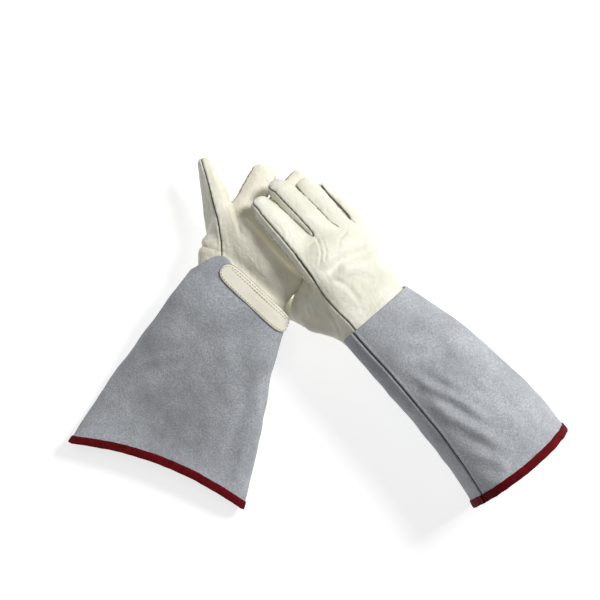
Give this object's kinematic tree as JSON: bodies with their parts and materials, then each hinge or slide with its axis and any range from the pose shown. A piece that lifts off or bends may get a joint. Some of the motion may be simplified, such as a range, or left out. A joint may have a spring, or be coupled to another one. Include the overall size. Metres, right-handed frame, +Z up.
{
  "type": "pair of beekeeping gauntlet gloves",
  "caption": "Long leather gauntlet gloves with flared suede cuffs and bound rims, filled out and clasped palm to palm, with hinged fingers, thumbs and wrists.",
  "frame": {"origin": "centre of the pair's footprint, on the floor it lies on", "axes": "+X towards the right glove's side, +Y towards the finger tips, +Z up"},
  "size_m": [0.5434, 0.4031, 0.1332],
  "materials": {
    "palm_leather": "matte",
    "back_leather": "matte",
    "strap_leather": "matte",
    "suede": "napped",
    "binding_tape": "woven",
    "thread": "twisted"
  },
  "bodies": {
    "left_hand": {"left_hand_back": "back_leather", "left_hand_palm": "palm_leather"},
    "left_thumb": {"left_thumb_back": "back_leather", "left_thumb_front": "palm_leather"},
    "left_index": {"left_index_back": "back_leather", "left_index_front": "palm_leather", "left_index_left_side": "back_leather", "left_index_right_side": "back_leather"},
    "left_middle": {"left_middle_back": "back_leather", "left_middle_front": "palm_leather", "left_middle_left_side": "back_leather", "left_middle_right_side": "back_leather"},
    "left_ring": {"left_ring_back": "back_leather", "left_ring_front": "palm_leather", "left_ring_left_side": "back_leather", "left_ring_right_side": "back_leather"},
    "left_little": {"left_little_back": "back_leather", "left_little_front": "palm_leather", "left_little_left_side": "back_leather", "left_little_right_side": "back_leather"},
    "left_gauntlet": {"left_gauntlet_back": "suede", "left_gauntlet_front": "suede", "left_binding": "binding_tape", "left_wrist_strap": "strap_leather"},
    "right_hand": {"right_hand_back": "back_leather", "right_hand_palm": "palm_leather", "right_thumb_base_back": "back_leather", "right_thumb_base_palm": "palm_leather"},
    "right_thumb": {"right_thumb_back": "back_leather", "right_thumb_front": "palm_leather"},
    "right_index": {"right_index_back": "back_leather", "right_index_front": "palm_leather", "right_index_left_side": "back_leather", "right_index_right_side": "back_leather"},
    "right_middle": {"right_middle_back": "back_leather", "right_middle_front": "palm_leather", "right_middle_left_side": "back_leather", "right_middle_right_side": "back_leather"},
    "right_ring": {"right_ring_back": "back_leather", "right_ring_front": "palm_leather", "right_ring_left_side": "back_leather", "right_ring_right_side": "back_leather"},
    "right_little": {"right_little_back": "back_leather", "right_little_front": "palm_leather", "right_little_left_side": "back_leather", "right_little_right_side": "back_leather"},
    "right_gauntlet": {"right_gauntlet_back": "suede", "right_gauntlet_front": "suede", "right_binding": "binding_tape", "right_wrist_strap": "strap_leather"}
  },
  "joints": [
    {"name": "left_index_bend", "type": "hinge", "parent": "left_hand", "child": "left_index", "pos_m": [-0.07715, 0.14748, 0.05389], "axis": [0.8729, -0.4854, -0.0489], "range_deg": [0, 22]},
    {"name": "left_middle_bend", "type": "hinge", "parent": "left_hand", "child": "left_middle", "pos_m": [-0.05702, 0.13415, 0.05275], "axis": [0.8021, -0.5952, -0.0489], "range_deg": [0, 15]},
    {"name": "left_ring_bend", "type": "hinge", "parent": "left_hand", "child": "left_ring", "pos_m": [-0.03605, 0.12155, 0.05059], "axis": [0.7053, -0.7072, -0.0489], "range_deg": [0, 10]},
    {"name": "left_little_bend", "type": "hinge", "parent": "left_hand", "child": "left_little", "pos_m": [-0.0161, 0.10847, 0.04821], "axis": [0.6, -0.7985, -0.0489], "range_deg": [0, 10]},
    {"name": "right_index_bend", "type": "hinge", "parent": "right_hand", "child": "right_index", "pos_m": [-0.00577, 0.09731, 0.09801], "axis": [0.6305, 0.7387, -0.2382], "range_deg": [0, 25]},
    {"name": "right_middle_bend", "type": "hinge", "parent": "right_hand", "child": "right_middle", "pos_m": [0.01339, 0.11128, 0.08643], "axis": [0.6232, 0.6076, -0.4924], "range_deg": [0, 25]},
    {"name": "right_ring_bend", "type": "hinge", "parent": "right_hand", "child": "right_ring", "pos_m": [0.03117, 0.12217, 0.071], "axis": [0.5731, 0.4453, -0.6879], "range_deg": [0, 25]},
    {"name": "right_little_bend", "type": "hinge", "parent": "right_hand", "child": "right_little", "pos_m": [0.0446, 0.13028, 0.05409], "axis": [0.4746, 0.3514, -0.807], "range_deg": [0, 25]},
    {"name": "left_wrist", "type": "hinge", "parent": "left_hand", "child": "left_gauntlet", "pos_m": [-0.082, 0.045, 0.071], "axis": [-0.9018, 0.4321, 0], "range_deg": [0, 35]},
    {"name": "right_wrist", "type": "hinge", "parent": "right_hand", "child": "right_gauntlet", "pos_m": [0.062, 0.023, 0.113], "axis": [-0.7218, -0.6921, 0], "range_deg": [0, 30]},
    {"name": "left_thumb_spread", "type": "hinge", "parent": "left_hand", "child": "left_thumb", "pos_m": [-0.1295, 0.106, 0.047], "axis": [0, 0, 1], "range_deg": [0, 25]},
    {"name": "right_thumb_close", "type": "hinge", "parent": "right_hand", "child": "right_thumb", "pos_m": [-0.012, 0.046, 0.01], "axis": [0, 0, -1], "range_deg": [0, 18]},
    {"name": "right_glove_draw_off", "type": "slide", "parent": "left_hand", "child": "right_hand", "axis": [0.6921, -0.7218, 0], "range_m": [0, 0.22]}
  ]
}
